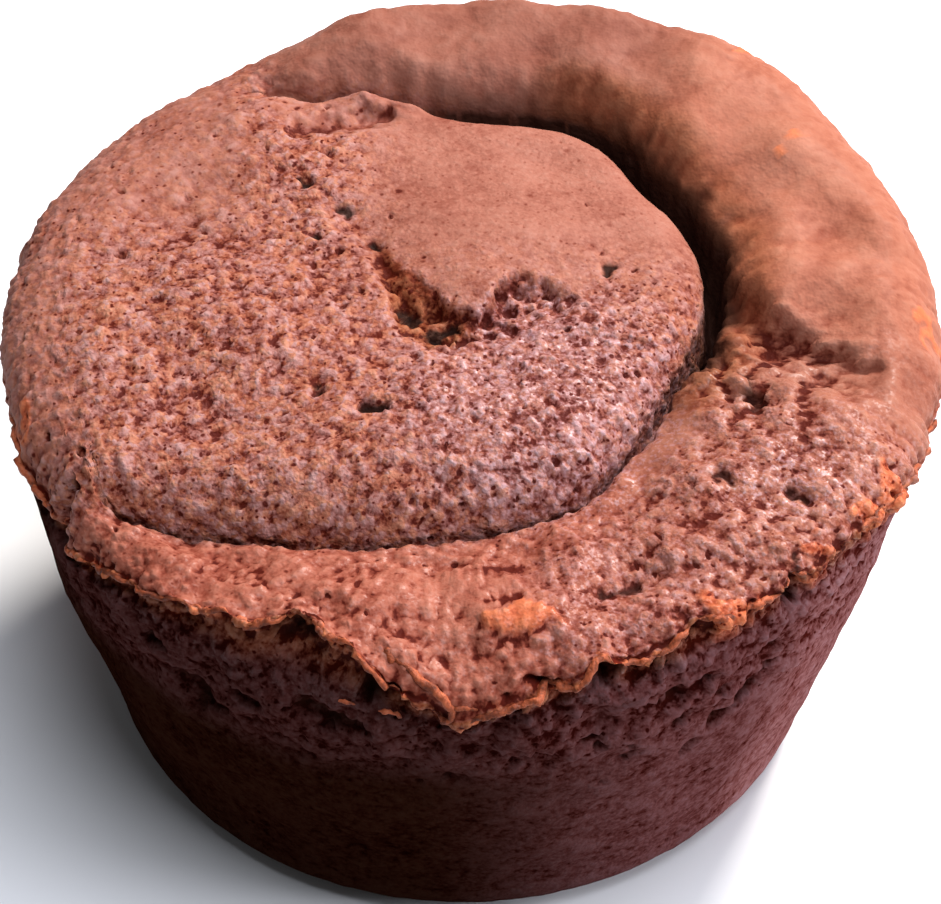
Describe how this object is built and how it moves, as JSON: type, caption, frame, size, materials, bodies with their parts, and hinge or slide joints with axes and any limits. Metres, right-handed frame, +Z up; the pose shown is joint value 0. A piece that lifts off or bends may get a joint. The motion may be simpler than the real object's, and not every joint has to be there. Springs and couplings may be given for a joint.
{
  "type": "lava cake",
  "caption": "Small round chocolate lava cake with tapered sides, a low cracked dome on top, a raised crust collar behind and a frilled edge in front.",
  "frame": {"origin": "middle of the flat base", "axes": "+Z up; the camera of the picture looks along +Y, so the high collar is at +Y and the low frilled edge at -Y; +X to the right"},
  "size_m": [0.0705, 0.0693, 0.0416],
  "materials": {
    "cake": "matt porous chocolate crumb"
  },
  "bodies": {
    "root": {"cake": "cake"}
  },
  "joints": []
}
